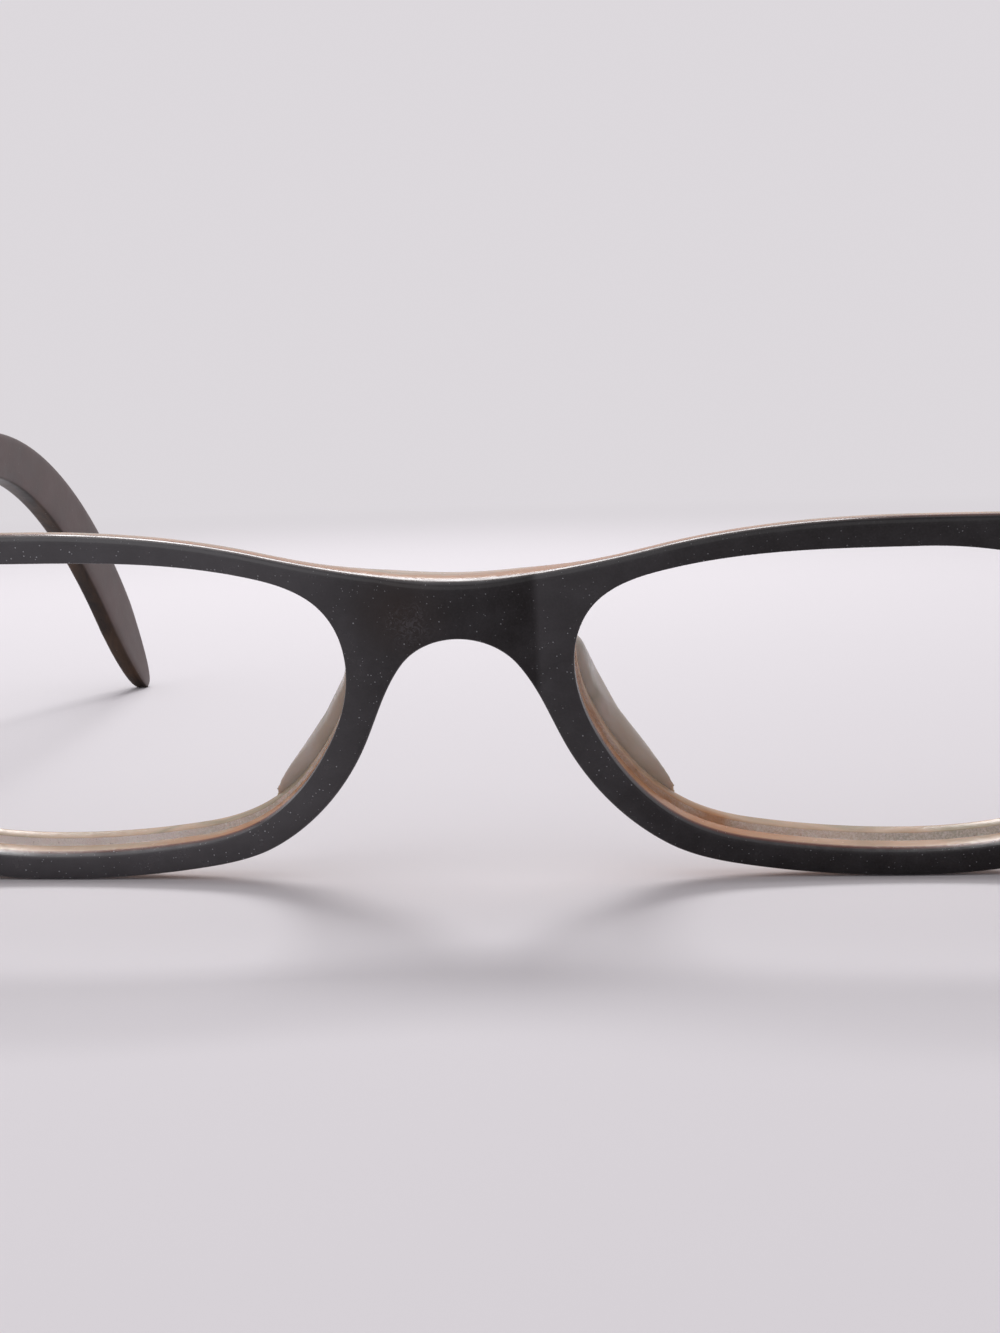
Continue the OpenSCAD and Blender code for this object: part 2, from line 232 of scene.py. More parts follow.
def filmAndSheenAlong(tree, x, look):
    across = calc(tree, "DIVIDE", calc(tree, "ADD", x, halfWidth), 2 * halfWidth)
    return ramp(tree, across, *[((at + halfWidth) / (2 * halfWidth), share)
                                for at, share in look["film"]])


def blackDust(tree, sheet, filmAndPaintedSheen, look):           # the powder lies in patches
    patches = ramp(tree, cloud(tree, sheet, 0.16, 3, 0.6), (0.42, 0.25), (0.6, 1))
    powder = calc(tree, "MULTIPLY", specks(tree, sheet, *look["powder"]), patches)
    dusty = calc(tree, "MAXIMUM", specks(tree, sheet, *look["grains"]), powder)
    return calc(tree, "MULTIPLY", dusty, calc(tree, "ADD", filmAndPaintedSheen, 0.3), True)


def blackAcetate(look):
    material, tree, shader = newMaterial("blackAcetate", IOR=1.48)
    sheet = place(tree, "sheet")
    x, depth = split(tree, sheet)[:2]
    haze = ramp(tree, cloud(tree, sheet, 0.3, 5, 0.62), (0.4, 0), (0.66, 1))
    fine = ramp(tree, cloud(tree, sheet, 5, 5, 0.75), (0.46, 0), (0.72, 1))
    filmAndPaintedSheen = filmAndSheenAlong(tree, x, look)
    # painted sheen and shade: the face greyer where the film's share is high, with random haze
    hazeAndPaintedSheen = scaled(tree, haze, 0.2, calc(tree, "MULTIPLY", filmAndPaintedSheen, 0.8), True)
    base = blendColour(tree, hazeAndPaintedSheen, look["colour"], look["haze"])
    base = blendColour(tree, calc(tree, "MULTIPLY", fine, 0.2), base, look["haze"])
    # painted sheen: a brownish, lighter patch on the wearer's-right half of the bridge facet
    brown = nearness(tree, sheet, look["brownSheenAt"], look["brownSheenSize"])
    base = blendColour(tree, calc(tree, "MULTIPLY", brown, 0.8), base, look["brown"])
    smudge = ramp(tree, cloud(tree, sheet, 1.3, 6, 0.72, 2.5), (0.46, 0), (0.6, 1))
    thumb = calc(tree, "MULTIPLY", smudge,
                 nearness(tree, sheet, look["scuffAt"], look["scuffSize"]))
    base = blendColour(tree, calc(tree, "MULTIPLY", thumb, 0.8), base, look["haze"])
    edge = ramp(tree, calc(tree, "DIVIDE", depth, front["black"]), (0.55, 0), (0.9, 1))
    base = blendColour(tree, edge, base, look["stain"])
    dusty = blackDust(tree, sheet, filmAndPaintedSheen, look)
    base = blendColour(tree, calc(tree, "MULTIPLY", dusty, 0.8), base, look["dust"])
    tree.links.new(base, shader.inputs["Base Color"])
    tree.links.new(scaled(tree, filmAndPaintedSheen, 0.4, 0.18), shader.inputs["Specular IOR Level"])
    rough = scaled(tree, haze, 0.14, 0.15)
    rough = scaled(tree, thumb, 0.2, rough)
    rough = scaled(tree, dusty, 0.5, rough, True)
    tree.links.new(rough, shader.inputs["Roughness"])
    addBump(tree, shader, cloud(tree, sheet, 0.4, 3, 0.5), look["bump"] * mm)
    addBump(tree, shader, dusty, look["bump"] * mm)
    return material


# Horn acetate, which is streaked, and amber close behind the black layer
hornLook = {"cream": (0.56, 0.41, 0.30), "tan": (0.44, 0.29, 0.18),
            "amber": (0.44, 0.19, 0.07), "olive": (0.36, 0.30, 0.21),
            "pale": (0.82, 0.73, 0.70), "stain": (0.13, 0.030, 0.012),
            "dust": (0.78, 0.75, 0.72), "grains": (1.3, 0.07, 0.35),
            "grooveGrains": (2.2, 0.12, 0.4), "streak": (0.35, 1.2, 0.35),
            "glow": (1.0, 0.55, 0.3), "rough": 0.14, "bump": 0.03, "grit": 0.15}
padLook = {**hornLook, "cream": (0.50, 0.43, 0.38), "tan": (0.45, 0.37, 0.30),
           "olive": (0.38, 0.34, 0.28), "rough": 0.1}


def behindBlack(tree, spot):             # depth in the horn layer, in millimetres
    return calc(tree, "SUBTRACT", split(tree, spot)[1], front["black"])


def amberShare(tree, spot, look):        # it reaches further back on the wearer's left
    x = split(tree, spot)[0]
    streaky = place(tree, "sheet", look["streak"])
    uneven = calc(tree, "MULTIPLY", cloud(tree, streaky, 0.9, 3, 0.5), 0.9)
    wearersLeft = ramp(tree, calc(tree, "DIVIDE", x, halfWidth), (0, 0), (0.1, 1), (0.3, 1),
                       (0.42, 0))
    back = calc(tree, "SUBTRACT", calc(tree, "DIVIDE", behindBlack(tree, spot), front["horn"]),
                calc(tree, "MULTIPLY", wearersLeft, 0.32))
    near = ramp(tree, calc(tree, "ADD", back, uneven), (0.62, 1), (1, 0))
    outward = calc(tree, "DIVIDE", calc(tree, "ABSOLUTE", x), halfWidth)
    return calc(tree, "MULTIPLY", near, ramp(tree, outward, (0.3, 0.9), (0.42, 0.4)))


def hornAcetate(name, look, source=None):
    material, tree, shader = newMaterial(name, IOR=1.48, Subsurface_Weight=0.25,
                                         Subsurface_Scale=1.2 * mm)
    shader.inputs["Subsurface Radius"].default_value = look["glow"]
    spot = place(tree, source)
    veins = cloud(tree, place(tree, source, look["streak"]), 0.25, 2, 0.4, 0.5)
    base = ramp(tree, veins, (0.34, look["tan"]), (0.46, look["cream"]),
                (0.56, look["olive"]), (0.68, look["cream"]))
    if source:
        base = blendColour(tree, amberShare(tree, spot, look), base, look["amber"])
        edge = ramp(tree, behindBlack(tree, spot), (0.0, 1), (0.12, 0.8), (0.26, 0))
        base = blendColour(tree, edge, base, look["stain"])
    base = blendColour(tree, specks(tree, spot, *look["grains"]), base, look["dust"])
    tree.links.new(base, shader.inputs["Base Color"])
    wear = cloud(tree, spot, 1.6, 5, 0.65)
    tree.links.new(scaled(tree, wear, 0.2, look["rough"]), shader.inputs["Roughness"])
    addBump(tree, shader, wear, look["bump"] * mm)
    return material


def grooveFace(look):                    # rough, and paler on the wearer's right, where a highlight is painted
    material, tree, shader = newMaterial("grooveFace", IOR=1.48, Subsurface_Weight=0.15,
                                         Subsurface_Scale=0.8 * mm, Roughness=0.24)
    spot = place(tree, "sheet")
    grit = cloud(tree, spot, 5, 5, 0.75)
    base = ramp(tree, cloud(tree, spot, 0.12, 3, 0.5), (0.42, look["olive"]),
                (0.6, look["cream"]))
    gritty = ramp(tree, grit, (0.42, 0.2), (0.6, 0.7))
    base = blendColour(tree, gritty, base, look["pale"])
    towardsRight = calc(tree, "DIVIDE", split(tree, spot)[0], -halfWidth)
    # painted highlight: the groove face paler on the wearer's right
    paintedHighlightRight = ramp(tree, towardsRight, (0.25, 0), (0.4, 1))
    base = blendColour(tree, calc(tree, "MULTIPLY", paintedHighlightRight, 0.75), base, look["pale"])
    base = blendColour(tree, amberShare(tree, spot, look), base, look["amber"])
    pits = ramp(tree, cloud(tree, spot, 2.4, 4, 0.7, 0.8), (0.64, 0), (0.7, 0.6))
    base = blendColour(tree, pits, base, look["stain"])
    base = blendColour(tree, specks(tree, spot, *look["grooveGrains"]), base, look["dust"])
    tree.links.new(base, shader.inputs["Base Color"])
    addBump(tree, shader, grit, look["grit"] * mm)
    return material


# Dark acetate, paler in patches on the temple's inner face, where a sheen is painted, and
# rougher there
templeLook = {"colour": (0.020, 0.015, 0.014), "brown": (0.060, 0.034, 0.021),
              "face": (0.125, 0.090, 0.085), "dust": (0.38, 0.36, 0.35),
              "grains": (1.4, 0.07, 0.5), "streak": (1.0, 0.15, 0.5), "bump": 0.05}


def darkAcetate(look):
    material, tree, shader = newMaterial("darkAcetate", IOR=1.48)
    spot = place(tree)
    streaks = cloud(tree, place(tree, None, look["streak"]), 0.4, 5, 0.6, 0.6)
    base = ramp(tree, streaks, (0.38, look["colour"]), (0.68, look["brown"]))
    inner = addNode(tree, "Attribute", attribute_name="inner").outputs["Fac"]
    patches = ramp(tree, cloud(tree, spot, 0.25, 4, 0.6), (0.3, 0.5), (0.6, 1))
    # painted sheen: the inner face paler in patches, which also makes them rougher
    wearAndPaintedSheen = calc(tree, "MULTIPLY", inner, patches)
    base = blendColour(tree, wearAndPaintedSheen, base, look["face"])
    base = blendColour(tree, specks(tree, spot, *look["grains"]), base, look["dust"])
    tree.links.new(base, shader.inputs["Base Color"])
    tree.links.new(scaled(tree, inner, 0.25, 0.2), shader.inputs["Specular IOR Level"])
    film = cloud(tree, spot, 0.5, 5, 0.65)
    rough = scaled(tree, film, 0.25, 0.2)
    rough = scaled(tree, wearAndPaintedSheen, 0.15, rough, True)
    tree.links.new(rough, shader.inputs["Roughness"])
    addBump(tree, shader, film, look["bump"] * mm)
    return material


# The hinges' metal, the screw's and the wire's
metalLook = {"colour": (0.60, 0.55, 0.46), "tarnish": (0.34, 0.30, 0.22),
             "brushed": (1, 1, 14), "bump": 0.01}
screwLook = {**metalLook, "colour": (0.66, 0.63, 0.56), "tarnish": (0.3, 0.27, 0.2)}
wireLook = {**metalLook, "colour": (0.6, 0.6, 0.62), "tarnish": (0.4, 0.4, 0.4)}


def dullMetal(name, look):
    material, tree, shader = newMaterial(name, Metallic=1.0)
    stain = cloud(tree, place(tree), 0.7, 4, 0.55)
    base = ramp(tree, stain, (0.3, look["tarnish"]), (0.52, look["colour"]))
    tree.links.new(base, shader.inputs["Base Color"])
    tree.links.new(scaled(tree, stain, 0.3, 0.22), shader.inputs["Roughness"])
    brushed = cloud(tree, place(tree, None, look["brushed"]), 1.5, 3, 0.6)
    addBump(tree, shader, brushed, look["bump"] * mm)
    return material


black = blackAcetate(blackLook)
horn = hornAcetate("hornAcetate", hornLook, "sheet")
padHorn = hornAcetate("padHorn", padLook)
groove = grooveFace(hornLook)
dark = darkAcetate(templeLook)
metal = dullMetal("hingeMetal", metalLook)
screwMetal = dullMetal("screwMetal", screwLook)
wireMetal = dullMetal("wireMetal", wireLook)
print("materials made")

# Distances, in millimetres, under which points count as one or lie on a cut
close = {"onCut": 1e-6, "templeCut": 1e-5, "mirrored": 1e-4, "weld": 1e-3}


def finishPiece(bm, name, materials, body, nodes, sharp=34):
    mesh = bpy.data.meshes.new(name)
    bm.to_mesh(mesh)
    bm.free()
    for material in materials:
        mesh.materials.append(material)
    mesh.shade_smooth()
    mesh.set_sharp_from_angle(angle=radians(sharp))
    piece = bpy.data.objects.new(name, mesh)
    bpy.context.scene.collection.objects.link(piece)
    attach(piece, body)
    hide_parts(*nodes)
    return piece


def startChain(bm, points, closed):     # a run of edges, its points numbered in the mark layer
    mark = bm.verts.layers.int["mark"]
    verts = [bm.verts.new(p) for p in points]
    for number, vert in enumerate(verts):
        vert[mark] = number
    pairs = list(zip(verts, verts[1:] + verts[:1]))
    if not closed:
        pairs.pop()
    return [bm.edges.new(pair) for pair in pairs]


def growChain(bm, edges, stations, putAt):      # extrudes the run from station to station
    mark = bm.verts.layers.int["mark"]
    strips = []
    for station in stations:
        grown = bmesh.ops.extrude_edge_only(bm, edges=edges)["geom"]
        for item in grown:
            if isinstance(item, bmesh.types.BMVert):
                item.co = putAt(station, item[mark])
        strips.append([item for item in grown if isinstance(item, bmesh.types.BMFace)])
        edges = [item for item in grown if isinstance(item, bmesh.types.BMEdge)
                 and len(item.link_faces) == 1 and all(v in grown for v in item.verts)]
    return edges, strips


# The front's outline: the +X half, which is mirrored
bendSteps = 30                  # points along each stretch
brow = [(0.514, 0, 180), (0.134, 2, 193.5)]     # share of the lens width, drop, heading


def lensKnots():                # share of width, share of height, heading, rim outside it
    low, side, top = front["rimBottom"], front["rimSide"], front["rimTop"]
    return [(0, 0.656, 270, 0), (0.039, 0.399, 298, front["strut"]),
            (0.171, 0.12, 328, (front["strut"] + low) / 2), (0.281, 0.045, 349.5, low),
            (0.549, 0, 0, low), (0.879, 0.149, 32.5, front["rimCorner"]),
            (1, 0.485, 90, side), (0.864, 0.834, 148, side), (0.537, 1, 180, top),
            (0.132, 0.942, 194.5, top), (0.029, 0.835, 233, top)]


def rimKnot(knot, width):       # the knot moved out across the rim: x, z, heading
    across, up, heading = knot[:3]
    turn = radians(heading)
    return (nasal + across * front["lensWidth"] + width * sin(turn),
            up * front["lensHeight"] - front["lensDrop"] - width * cos(turn), heading)


def outerKnots():               # the outer edge, from the nose arch round to the bridge's top
    side = radians(front["archSide"])
    rise = front["lensHeight"] - front["lensDrop"] + front["rimTop"]
    low = front["hingeHeight"] - front["endHeight"] / 2
    high = front["hingeHeight"] + front["endHeight"] / 2
    corner = halfWidth - front["endRound"]
    arch = [(0, front["archTop"], 0),
            (front["archRadius"] * sin(side),
             front["archTop"] - front["archRadius"] * (1 - cos(side)), -front["archSide"])]
    rim = [rimKnot(knot, knot[3]) for knot in lensKnots()[1:7]]
    end = [(corner, low, front["endSlope"]), (halfWidth, low + front["endRound"], 90),
           (halfWidth, high - front["endRound"], 90),
           (corner, high + front["endRise"], 180 - front["endSlope"])]
    top = [(nasal + across * front["lensWidth"], rise - drop, heading)
           for across, drop, heading in brow]
    return arch + rim + end + top + [(0, front["bridgeTop"], 180)]


def stretch(a, b):              # one cubic stretch between two knots
    turn = (b[2] - a[2] + 180) % 360 - 180
    p, q = Vector(a[:2]), Vector(b[:2])
    handle = (q - p).length / (3 * cos(radians(turn / 4)) ** 2)
    leave, arrive = (Vector((cos(radians(k[2])), sin(radians(k[2])))) for k in (a, b))
    return interpolate_bezier(p, p + handle * leave, q - handle * arrive, q,
                              bendSteps + 1)[:-1]


def outline(knots, closed):     # its points and the directions square to it
    following = knots[1:] + knots[:1]
    pairs = list(zip(knots, following))
    if not closed:
        pairs.pop()
    points = [Vector(p) for a, b in pairs for p in stretch(a, b)]
    if not closed:
        points.append(Vector(knots[-1][:2]))
    count = len(points)
    square = []
    for i in range(count):
        before, after = points[i - 1], points[(i + 1) % count]
        if not closed and i in (0, count - 1):
            along = Vector((1 if i == 0 else -1, 0))
        else:
            along = (after - before).normalized()
        square.append(Vector((along.y, -along.x)))
    return points, square


outerPoints, outerSquare = outline(outerKnots(), False)
lensPoints, lensSquare = outline([rimKnot(knot, 0) for knot in lensKnots()], True)


def smoothStep(value, low, high):
    t = min(max((value - low) / (high - low), 0), 1)
    return t * t * (3 - 2 * t)


def mix(a, b, t):
    return tuple(u + (v - u) * t for u, v in zip(a, b))


# How far the outer edge falls away behind the black layer: depth and height on the rims, on
# the bridge, below and at the end pieces, then where each passes into the next
fallAway = {"rim": (3.6, 1.6), "bridge": (3.4, 0.95), "below": (1.3, 0.6), "end": (1.4, 0.7),
            "bridgeToRim": (4, 13), "rimToEnd": (50, 59), "belowToTop": (-0.1, 0.6),
            "fullness": 1.3}


def backRound(number):
    point, square = outerPoints[number], outerSquare[number]
    top = mix(fallAway["bridge"], fallAway["rim"],
              smoothStep(point.x, *fallAway["bridgeToRim"]))
    top = mix(top, fallAway["end"], smoothStep(point.x, *fallAway["rimToEnd"]))
    return mix(fallAway["below"], top, smoothStep(square.y, *fallAway["belowToTop"]))


def shares(steps):
    return [i / steps for i in range(steps + 1)]


def quarterRound(radius, share):        # (depth, inset) part of the way round a front edge
    turn = share * pi / 2
    return radius * (1 - cos(turn)), radius * (1 - sin(turn))


def edgeRound(radius, steps, support):  # a rounded edge, after a loop that holds the face flat
    return [(0, radius + support)] + [quarterRound(radius, share) for share in shares(steps)]


def buildSheet(outerStations, lensStations, putOuter, putLens, cuts=(), grooveAt=()):
    bm = bmesh.new()
    bm.verts.layers.int.new("mark")
    outerStart = startChain(
        bm, [putOuter(outerStations[0], i) for i in range(len(outerPoints))], False)
    lensStart = startChain(
        bm, [putLens(lensStations[0], i) for i in range(len(lensPoints))], True)
    outerEnd = growChain(bm, outerStart, outerStations[1:], putOuter)[0]
    lensEnd, lensStrips = growChain(bm, lensStart, lensStations[1:], putLens)
    for number in grooveAt:
        for face in lensStrips[number]:
            face.material_index = 1
    for outerRun, lensRun in ((outerStart, lensStart), (outerEnd, lensEnd)):
        ends = [v for edge in outerRun for v in edge.verts if abs(v.co.x) < close["onCut"]]
        closing = bm.edges.new((ends[0], ends[-1]))
        bmesh.ops.triangle_fill(bm, use_beauty=True, edges=outerRun + lensRun + [closing])
    for x in cuts:
        bmesh.ops.bisect_plane(bm, geom=bm.verts[:] + bm.edges[:] + bm.faces[:],
                               plane_co=(x, 0, 0), plane_no=(1, 0, 0), dist=close["onCut"])
    bmesh.ops.mirror(bm, geom=bm.verts[:] + bm.edges[:] + bm.faces[:], axis="X",
                     merge_dist=close["mirrored"])
    bmesh.ops.recalc_face_normals(bm, faces=bm.faces[:])
    return bm


def outerPlace(station, number):
    depth, inset = station
    at = outerPoints[number] - outerSquare[number] * inset
    return (at.x, depth, at.y)


def lensPlace(station, number):
    depth, inset = station
    at = lensPoints[number] + lensSquare[number] * inset
    return (at.x, depth, at.y)


# The outer edge's stations are shares of a quarter turn, with one before it and one behind
beforeEdge, behindEdge = -1, 2


def hornOuterPlace(station, number):
    if station == beforeEdge:
        return outerPlace((front["black"], 0), number)
    depth, height = backRound(number)
    turn, power = station * pi / 2, 2 / fallAway["fullness"]
    at = (frontDepth - depth * (1 - sin(turn) ** power), height * (1 - cos(turn) ** power))
    return outerPlace(at, number)


def standUp(bm, facet):         # bends the flat sheet to its sweep and stands it in place
    sheet = bm.verts.layers.float_vector.new("sheet")
    for vert in bm.verts:
        x, t, z = vert.co
        vert[sheet] = vert.co
        y = sheetDepth(x, t)
        if facet and abs(x) < front["facetHalf"]:
            crown = front["facetRadius"] - sqrt(front["facetRadius"] ** 2 - x * x)
            y += (crown - facetRise) * max(1 - t / front["black"], 0)
        vert.co = standing @ Vector((x, y, z))
    bmesh.ops.recalc_face_normals(bm, faces=bm.faces[:])


# The black layer, its edge rounder where it faces up
blackEdges = {"top": 0.7, "outer": 0.28, "upwards": (0, 0.5), "steps": 8, "support": 0.12,
              "opening": 0.16, "openingSteps": 4, "openingSupport": 0.08, "crease": 0.25,
              "facetSteps": 12}


def blackOuterPlace(station, number):
    if station == behindEdge:
        return outerPlace((front["black"], 0), number)
    up = smoothStep(outerSquare[number].y, *blackEdges["upwards"])
    radius = blackEdges["outer"] + (blackEdges["top"] - blackEdges["outer"]) * up
    if station == beforeEdge:
        return outerPlace((0, radius + blackEdges["support"]), number)
    return outerPlace(quarterRound(radius, station), number)


def makeBlackLayer(v):
    half = front["facetHalf"]
    cuts = [half * i / v["facetSteps"] for i in range(1, v["facetSteps"])]
    cuts += [half - v["crease"] / 2, half + v["crease"] / 2, half + v["crease"] * 2]
    outerStations = [beforeEdge] + shares(v["steps"]) + [behindEdge]
    lensStations = edgeRound(v["opening"], v["openingSteps"], v["openingSupport"])
    lensStations.append((front["black"], 0))
    bm = buildSheet(outerStations, lensStations, blackOuterPlace, lensPlace, cuts)
    standUp(bm, True)
    finishPiece(bm, "blackLayer", [black], "front", ["front_black_layer"],
                sharp=60)


makeBlackLayer(blackEdges)
print("black layer made")

# The horn layer, with a V groove round each opening
hornEdges = {"steps": 8, "opening": 0.3, "openingSteps": 5, "openingSupport": 0.1,
             "grooveDepth": 0.6, "grooveWidth": 1.3, "lip": 0.05, "root": 0.06,
             "chips": 0.05, "chipScale": 1.7, "fineScale": 5, "fineShare": 0.5}


def chipped(co, v):             # uneven groove edges
    coarse = noise.noise(Vector(co) * v["chipScale"])
    fine = noise.noise(Vector(co) * v["fineScale"])
    return (coarse + v["fineShare"] * fine) * v["chips"]


def makeHornLayer(v):
    middle = front["black"] + front["horn"] / 2
    reach, lip = v["grooveWidth"] / 2, v["lip"]
    walls = [(front["black"], 0), (middle - reach - lip, 0), (middle - reach + lip, lip),
             (middle - v["root"], v["grooveDepth"]), (middle + v["root"], v["grooveDepth"]),
             (middle + reach - lip, lip), (middle + reach + lip, 0)]
    rounded = edgeRound(v["opening"], v["openingSteps"], v["openingSupport"])
    rear = [(frontDepth - depth, inset) for depth, inset in reversed(rounded)]

    def lensWall(station, number):
        co = lensPlace(station, number)
        if station in walls[1:]:
            shift = chipped(co, v)
            co = lensPlace((station[0] + shift, max(station[1] + shift, 0)), number)
        return co

    bm = buildSheet([beforeEdge] + shares(v["steps"]), walls + rear, hornOuterPlace, lensWall,
                    grooveAt=range(1, 5))       # from the front lip up to the rear one
    standUp(bm, False)
    finishPiece(bm, "hornLayer", [horn, groove], "front",
                ["front_horn_layer"], sharp=60)


makeHornLayer(hornEdges)
print("horn layer made")


# Copies of CAD pieces, with their edges softened
def copyNode(node):
    bm = bmesh.new()
    source = frame["nodes"][node]
    bm.from_mesh(source.data)
    bmesh.ops.transform(bm, matrix=source.matrix_world, verts=bm.verts[:])
    bmesh.ops.remove_doubles(bm, verts=bm.verts[:], dist=close["weld"] * mm)
    return bm


padMesh = {"voxel": 0.25, "smooth": 26, "runOut": (-16.2, -12.4), "aside": 0.6}


def makePad(side, v):
    node = "nose_pad_" + side
    bm = copyNode(node)
    for vert in bm.verts:       # the lower end runs out on the rim
        at = standing.inverted() @ vert.co
        foot, full = sheetDepth(at.x, frontDepth), smoothStep(at.z, *v["runOut"])
        at.y = foot + (at.y - foot) * full
        at.x -= (1 - full) * v["aside"] * (1 if at.x > 0 else -1)
        vert.co = standing @ at
    pad = finishPiece(bm, "nosePad" + side.title(), [padHorn], "front",
                      [node], sharp=60)
    remesh = pad.modifiers.new("even", "REMESH")
    remesh.mode = "VOXEL"
    remesh.voxel_size = v["voxel"] * mm
    remesh.use_smooth_shade = True
    soft = pad.modifiers.new("soft", "SMOOTH")
    soft.iterations = v["smooth"]


for side in ("right", "left"):
    makePad(side, padMesh)
print("nose pads made")

# Hinge leaves and screw. A plate starts clear of the barrels and stands proud of the plastic.
softEdges = {"flat": 2, "sharp": 35, "segments": 2, "leaf": 0.06, "screw": 0.04}
plate = {"clear": 2, "proud": 0.05}
pinAxis = Vector(joint["axis"])
backwards = (standing.to_3x3() @ Vector((0, 1, 0))).normalized()
inwards = Vector((1, 0, 0))


def softCopy(node, name, material, body, width, lift=None):
    bm = copyNode(node)
    bmesh.ops.dissolve_limit(bm, angle_limit=radians(softEdges["flat"]), verts=bm.verts[:],
                             edges=bm.edges[:])
    sharp = [e for e in bm.edges if len(e.link_faces) == 2
             and e.calc_face_angle(0) > radians(softEdges["sharp"])]
    bmesh.ops.bevel(bm, geom=sharp, offset=width * mm, offset_type="OFFSET",
                    affect="EDGES", segments=softEdges["segments"], profile=0.5,
                    material=-1, clamp_overlap=True)
    if lift:
        for vert in bm.verts:
            away = Vector((abs(vert.co.x) + pinAt.x, *(vert.co - pinAt).yz))
            if away.cross(pinAxis).length > plate["clear"] * mm:
                vert.co += lift * plate["proud"] * mm
    finishPiece(bm, name, [material], body, [node])


for side in ("right", "left"):
    softCopy("front_hinge_leaf_" + side, "frontLeaf" + side.title(), metal, "front",
             softEdges["leaf"], backwards)
softCopy("temple_hinge_leaf_right", "templeLeaf", metal, "temple",
         softEdges["leaf"], inwards)
softCopy("hinge_screw_right", "hingeScrew", screwMetal, "front",
         softEdges["screw"])
print("hinges made")

# The temple: sections along its middle line, in the plane of the hinge
temple = {"straight": 67.5, "bendRadius": 46, "bend": 73, "tail": 10.5, "thick": 2.9,
          "height": 7.5, "waist": 5.5, "paddle": 8.8, "tip": 12.5, "tipPower": 1.2,
          "tipRound": 0.35, "tipTurns": range(0, 88, 3), "inwardStart": 73,
          "inwardRadius": 320, "buttGap": 0.15, "stub": 4, "steps": 120, "ring": 40,
          "square": 6, "innerFace": (0.5, 0.9)}
innerX = hinge["barrelRadius"] + hinge["room"]
bendLength = temple["bendRadius"] * radians(temple["bend"])
tipStart = temple["straight"] + bendLength + temple["tail"] - temple["tip"]


def templeTurn(s):
    return min(max(s - temple["straight"], 0), bendLength) / temple["bendRadius"]


def templeMiddle(s):            # along and up, from the hinge pin
    turn = templeTurn(s)
    tail = max(s - temple["straight"] - bendLength, 0)
    return Vector((min(s, temple["straight"]) + temple["bendRadius"] * sin(turn)
                   + tail * cos(turn),
                   -temple["bendRadius"] * (1 - cos(turn)) - tail * sin(turn)))


def templeHeight(s):
    narrowing = (temple["height"] - temple["waist"]) * smoothStep(s, 0, temple["straight"])
    widening = ((temple["paddle"] - temple["waist"])
                * smoothStep(s, temple["straight"], tipStart))
    taper = max(s - tipStart, 0) / temple["tip"]
    return (temple["height"] - narrowing + widening) * sqrt(1 - taper ** temple["tipPower"])


def templeStations():           # length, height and share of the thickness of each section
    span = tipStart + temple["stub"]
    lengths = [span * i / temple["steps"] - temple["stub"] for i in range(temple["steps"])]
    body = [(s, templeHeight(s), 1) for s in lengths]
    turns = [radians(a) for a in temple["tipTurns"]]
    tip = [(tipStart + temple["tip"] * sin(a), cos(a) ** temple["tipRound"]) for a in turns]
    return body + [(s, templeHeight(s), full) for s, full in tip]


def templePlace(station, number):
    s, height, full = station
    turn = 2 * pi * number / temple["ring"]
    power = 2 / temple["square"]
    across = abs(cos(turn)) ** power * (1 if cos(turn) > 0 else -1)
    up = abs(sin(turn)) ** power * (1 if sin(turn) > 0 else -1)
    angle = templeTurn(s)
    side = templeMiddle(s) + height / 2 * up * Vector((sin(angle), cos(angle)))
    inward = max(s - temple["inwardStart"], 0) ** 2 / (2 * temple["inwardRadius"])
    x = innerX - inward + temple["thick"] * (1 + across * full) / 2
    return (-x, side.x, side.y)


def makeTemple():
    bm = bmesh.new()
    bm.verts.layers.int.new("mark")
    stations = templeStations()
    ring = startChain(bm, [templePlace(stations[0], i) for i in range(temple["ring"])], True)
    end = growChain(bm, ring, stations[1:], templePlace)[0]
    bmesh.ops.holes_fill(bm, edges=ring + end, sides=0)
    atPin = (Matrix.Translation(pinUpright)
             @ Matrix.Rotation(radians(-hinge["panto"]), 4, "X"))
    bmesh.ops.transform(bm, matrix=atPin, verts=bm.verts[:])
    sweep = radians(front["sweep"])
    buttAt = Vector((-halfWidth, sheetDepth(halfWidth, frontDepth) + temple["buttGap"], 0))
    cut = bmesh.ops.bisect_plane(bm, geom=bm.verts[:] + bm.edges[:] + bm.faces[:],
                                 plane_co=buttAt, plane_no=(-sin(sweep), -cos(sweep), 0),
                                 clear_outer=True, dist=close["templeCut"])
    rim = [item for item in cut["geom_cut"] if isinstance(item, bmesh.types.BMEdge)]
    bmesh.ops.holes_fill(bm, edges=rim, sides=0)
    bmesh.ops.transform(bm, matrix=standing, verts=bm.verts[:])
    bmesh.ops.recalc_face_normals(bm, faces=bm.faces[:])
    bm.normal_update()
    inner = bm.verts.layers.float.new("inner")      # 1 on the face towards the head
    for vert in bm.verts:
        vert[inner] = smoothStep(vert.normal.x, *temple["innerFace"])
    finishPiece(bm, "temple", [dark], "temple", ["temple_right"], sharp=50)


makeTemple()
wire = frame["nodes"]["temple_core_wire_right"]     # kept as it is, inside the temple
wire.data.materials.clear()
wire.data.materials.append(wireMetal)
print("temple made")

# Floor, backdrop and light. Daylight is the surroundings' strength on the object itself.
studio = {"floor": (0.76, 0.73, 0.76), "backdrop": (0.72, 0.69, 0.72), "size": 3.0,
          "fadeFrom": 0.22, "fadeTo": 0.7, "daylight": 0.45}


def glow(tree, v):              # strength of the surroundings: full where they are seen
    paths = addNode(tree, "LightPath")
    seen = calc(tree, "MAXIMUM", paths.outputs["Is Camera Ray"],
                calc(tree, "MAXIMUM", paths.outputs["Is Glossy Ray"],
                     paths.outputs["Is Transmission Ray"]))
    return calc(tree, "ADD", calc(tree, "MULTIPLY", seen, 1 - v["daylight"]), v["daylight"])


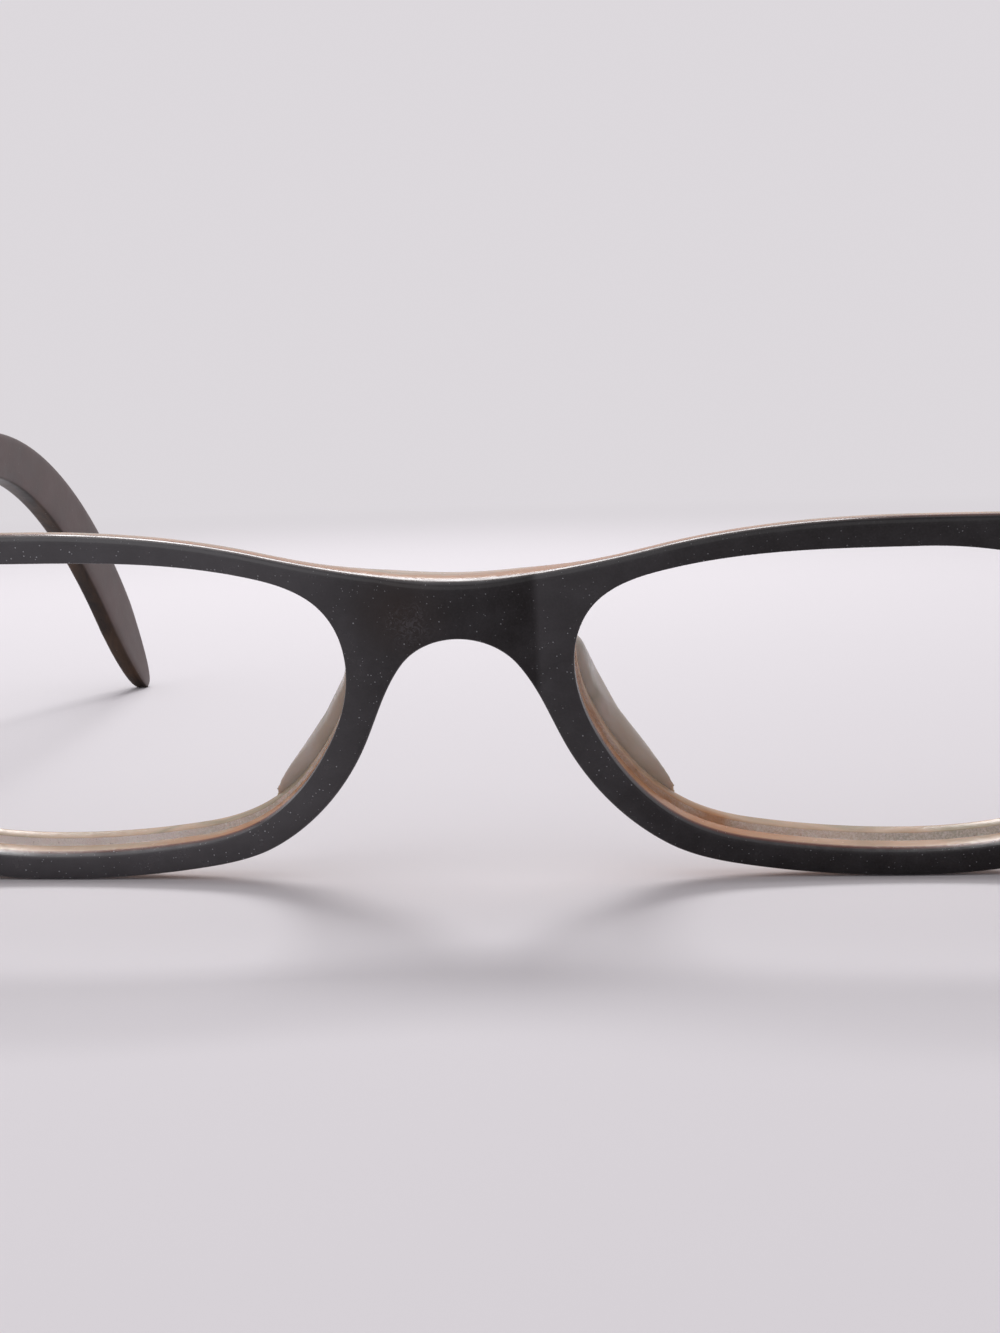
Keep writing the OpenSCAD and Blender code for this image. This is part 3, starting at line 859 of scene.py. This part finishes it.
def addStage(v):                # the floor passes into the backdrop's colour with distance
    bm = bmesh.new()
    bmesh.ops.create_grid(bm, x_segments=1, y_segments=1, size=v["size"])
    mesh = bpy.data.meshes.new("floor")
    bm.to_mesh(mesh)
    bm.free()
    material, tree, shader = newMaterial("floorPaper", Roughness=0.9)
    shader.inputs["Base Color"].default_value = (*v["floor"], 1)
    far = addNode(tree, "Emission")
    far.inputs["Color"].default_value = (*v["backdrop"], 1)
    tree.links.new(glow(tree, v), far.inputs["Strength"])
    spot = addNode(tree, "TexCoord").outputs["Object"]
    distance = addNode(tree, "VectorMath", operation="LENGTH")
    tree.links.new(spot, distance.inputs[0])
    fade = addNode(tree, "MapRange", interpolation_type="SMOOTHSTEP")
    fade.inputs["From Min"].default_value = v["fadeFrom"]
    fade.inputs["From Max"].default_value = v["fadeTo"]
    tree.links.new(distance.outputs["Value"], fade.inputs["Value"])
    both = addNode(tree, "MixShader")
    tree.links.new(fade.outputs["Result"], both.inputs["Fac"])
    tree.links.new(shader.outputs["BSDF"], both.inputs[1])
    tree.links.new(far.outputs["Emission"], both.inputs[2])
    tree.links.new(both.outputs["Shader"], tree.nodes["Material Output"].inputs["Surface"])
    mesh.materials.append(material)
    floor = bpy.data.objects.new("floor", mesh)
    bpy.context.scene.collection.objects.link(floor)


lamps = {"overhead": {"at": (-0.1, 0.1, 0.6), "size": (0.5, 0.4), "power": 0.6},
         "behind": {"at": (-0.08, 0.42, 0.56), "size": (0.35, 0.2), "power": 2.6},
         "frontFill": {"at": (-0.12, -0.45, 0.52), "size": (0.7, 0.5), "power": 0.9}}
lampTarget = (0, 0, 0.015)


def addLight(name, at, size, power):
    data = bpy.data.lights.new(name, "AREA")
    data.shape = "RECTANGLE"
    data.size, data.size_y = size
    data.energy = power
    lamp = bpy.data.objects.new(name, data)
    lamp.location = at
    lamp.visible_camera = False
    lamp.rotation_euler = (Vector(lampTarget) - Vector(at)).to_track_quat("-Z", "Y").to_euler()
    bpy.context.scene.collection.objects.link(lamp)


def addWorld(v):
    world = bpy.data.worlds.new("studio")
    bpy.context.scene.world = world
    world.use_nodes = True
    background = world.node_tree.nodes["Background"]
    background.inputs["Color"].default_value = (*v["backdrop"], 1)
    world.node_tree.links.new(glow(world.node_tree, v), background.inputs["Strength"])


addStage(studio)
addWorld(studio)
for name, lamp in lamps.items():
    addLight(name, **lamp)
bpy.context.scene.view_settings.view_transform = "Standard"
print("stage lit")
